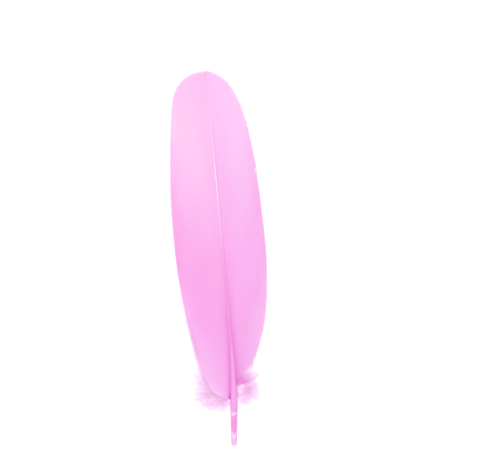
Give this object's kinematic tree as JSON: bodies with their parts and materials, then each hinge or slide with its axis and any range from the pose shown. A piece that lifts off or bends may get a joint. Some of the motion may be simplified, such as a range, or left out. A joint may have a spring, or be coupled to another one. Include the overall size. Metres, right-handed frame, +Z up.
{
  "type": "goose feather",
  "caption": "Dyed goose feather with a bare quill, two closed vanes and a fringe of down, gently bowed and lying smooth side up.",
  "frame": {"origin": "on the surface the feather lies on, under the middle of its length and width", "axes": "+Y from the end of the quill towards the tip, +Z up with the smooth side up, +X towards the narrower vane"},
  "size_m": [0.0468, 0.175, 0.0092],
  "materials": {
    "vane": "satin dyed barbs, paler towards the tip",
    "quill": "smooth dyed keratin, paler at the end of the quill",
    "down": "soft loose down, pale pink"
  },
  "bodies": {
    "root": {"feather": "vane"}
  },
  "joints": []
}
